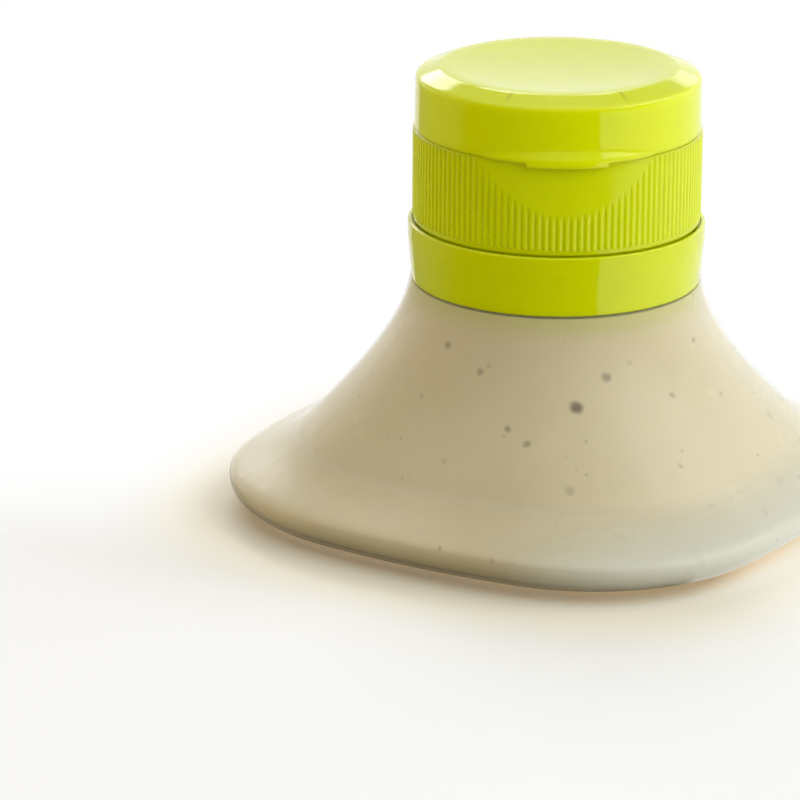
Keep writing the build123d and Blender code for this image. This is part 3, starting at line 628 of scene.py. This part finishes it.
# ---------------------------------------------------------------- floor, lights, camera
def seen_floor(net, spot, past):
    """The white sweep that the camera sees, in the bottle's shadow, with painted warm light and
    painted contact shade close to the bottle and painted light on its right and behind.
    """
    turned = net.add("ShaderNodeVectorRotate", {
        "Vector": spot, "Axis": (0, 0, 1), "Angle": math.radians(-BODY_TWIST)}).outputs[0]
    parts = net.add("ShaderNodeSeparateXYZ", {"Vector": net.vector("ABSOLUTE", turned)[0]}).outputs
    powers = [net.math("POWER", parts[axis], SQUARED) for axis in "XY"]
    out = net.math("POWER", net.math("ADD", *powers), 1 / SQUARED)
    tint = net.colours(net.span(out, *FLOOR_WARM_REACH, 1.0, 0.0), FLOOR_WHITE, FLOOR_WARM)
    tint = net.colours(net.span(out, *FLOOR_CONTACT_REACH, 1.0, 0.0), tint, FLOOR_CONTACT)
    depth = net.add("ShaderNodeSeparateXYZ", {"Vector": spot}).outputs["Y"]
    behind = net.span(depth, *FLOOR_BACK_REACH)
    back = net.math("MULTIPLY", behind, net.span(out, *FLOOR_BACK_START))
    lift = net.span(out, *FLOOR_LIFT_CONTACT)
    for more in (net.span(out, *FLOOR_LIFT_FAR), net.span(past, *FLOOR_LIFT_RIGHT), back):
        lift = net.math("MAXIMUM", lift, more)
    glow = net.add("ShaderNodeEmission", {"Color": tint}).outputs[0]
    return net.blend(lift, net.diffuse(tint), glow)


def unseen_floor(net, spot, past, mirrored):
    """The table as it lights the bottle and shows in its gloss."""
    far = net.span(net.vector("DOT_PRODUCT", spot, FAR_ACROSS)[1], *FAR_CHANGE)
    bounce = net.colours(net.span(past, *BOUNCE_CHANGE), BOUNCE_LEFT, BOUNCE_RIGHT)
    shown = net.colours(mirrored, bounce, net.colours(far, MIRRORED_NEAR, MIRRORED_FAR))
    bright = net.add("ShaderNodeEmission", {"Color": WHITE}).outputs[0]
    edge = net.math("MULTIPLY", net.span(past, *EDGE_SOFT), mirrored)
    return net.blend(edge, net.diffuse(shown), bright)


def build_floor():
    """A large floor with a white sweep for the camera and a plainer table for all other rays."""
    material, net = new_material("floor_white")
    ray = net.add("ShaderNodeLightPath").outputs
    spot = net.add("ShaderNodeTexCoord").outputs["Object"]
    past = net.vector("DOT_PRODUCT", net.vector("SUBTRACT", spot, EDGE_POINT)[0], EDGE_ACROSS)[1]
    table = unseen_floor(net, spot, past, ray["Is Glossy Ray"])
    net.surface(net.blend(ray["Is Camera Ray"], table, seen_floor(net, spot, past)))
    bpy.ops.mesh.primitive_plane_add(size=8.0, location=(0, 0, 0))
    floor = bpy.context.object
    floor.name = "floor"
    floor.data.materials.append(material)


def build_world():
    """Warm soft room light. The camera sees white, and gloss shows a brighter back and top."""
    world = bpy.data.worlds.new("world")
    scene.world = world
    world.use_nodes = True
    net = Net(world.node_tree)
    ray = net.add("ShaderNodeLightPath").outputs
    direction = net.add("ShaderNodeTexCoord").outputs["Generated"]
    way = net.add("ShaderNodeSeparateXYZ", {"Vector": direction}).outputs
    behind = net.span(way["Y"], *ROOM_BEHIND)
    above = net.span(way["Z"], *ROOM_ABOVE)
    soft, mirrored, white = [
        net.add("ShaderNodeBackground", {"Color": colour, "Strength": strength}).outputs[0]
        for colour, strength in (
            (ROOM_COLOUR, ROOM_LIGHT), (WHITE, net.math("MAXIMUM", behind, above)), (WHITE, 1.0))]
    room = net.blend(ray["Is Glossy Ray"], soft, mirrored)
    both = net.blend(ray["Is Camera Ray"], room, white)
    net.add("ShaderNodeOutputWorld", {"Surface": both})


def panel(name, azimuth, elevation, distance, width, height, radiance,
          colour=(1, 1, 1), mirrored=True):
    """Soft panel that faces the bottle. Azimuth 0 is in front, 90 on the right."""
    turn, lift = math.radians(azimuth), math.radians(elevation)
    level = math.cos(lift)
    away = Vector((math.sin(turn) * level, -math.cos(turn) * level, math.sin(lift)))
    data = bpy.data.lights.new(name, "AREA")
    data.shape = "RECTANGLE"
    data.size = width
    data.size_y = height
    data.energy = radiance * math.pi * width * height
    data.color = colour
    obj = bpy.data.objects.new(name, data)
    scene.collection.objects.link(obj)
    obj.location = PANEL_AIM + away * distance
    obj.rotation_euler = (-away).to_track_quat("-Z", "Y").to_euler()
    obj.visible_camera = False
    obj.visible_glossy = mirrored


def build_camera():
    """The camera stands back from the bottle's front, turned a little round its axis."""
    level = math.cos(PITCH)
    forward = Vector((math.sin(YAW) * level, math.cos(YAW) * level, -math.sin(PITCH)))
    right = forward.cross(Vector((0, 0, 1))).normalized()
    up = right.cross(forward)
    side = math.cos(ROLL) * right + math.sin(ROLL) * up
    top = -math.sin(ROLL) * right + math.cos(ROLL) * up
    pose = Matrix.Identity(4)
    for row in range(3):
        pose[row][0], pose[row][1], pose[row][2] = side[row], top[row], -forward[row]
    pose[1][3], pose[2][3] = -CAMERA_DISTANCE, CAMERA_HEIGHT
    data = bpy.data.cameras.new("camera")
    data.lens = LENS
    data.sensor_width = SENSOR
    camera = bpy.data.objects.new("camera", data)
    scene.collection.objects.link(camera)
    camera.matrix_world = Matrix.Rotation(math.radians(CAMERA_TURN), 4, "Z") @ pose
    scene.camera = camera


build_floor()
build_world()
# azimuth and elevation in degrees, distance, width and height in metres, and radiance
panel("right_front_panel", 40, 15, 0.9, 0.76, 0.9, 2.45, COOL, False)
panel("right_back_panel", 105, 18, 0.9, 0.9, 0.9, 0.7, COOL)
panel("high_panel", 85, 46, 1.0, 1.1, 0.5, 2.0, COOL)
panel("left_panel", -98, 10, 0.9, 0.9, 0.6, 2.6, WARM, False)
panel("front_panel", -30, 8, 1.1, 0.9, 0.6, 0.6, WARM, False)
panel("back_sweep", 180, 12, 1.3, 3.2, 0.62, 0.65)
panel("back_strip", 178, 41, 1.5, 0.5, 0.34, 6.5)
panel("back_left_panel", 196, 26, 1.5, 0.4, 0.46, 3.4)
panel("back_right_panel", 157, 20, 1.5, 0.32, 0.34, 1.1)
build_camera()
scene.view_settings.view_transform = "Standard"
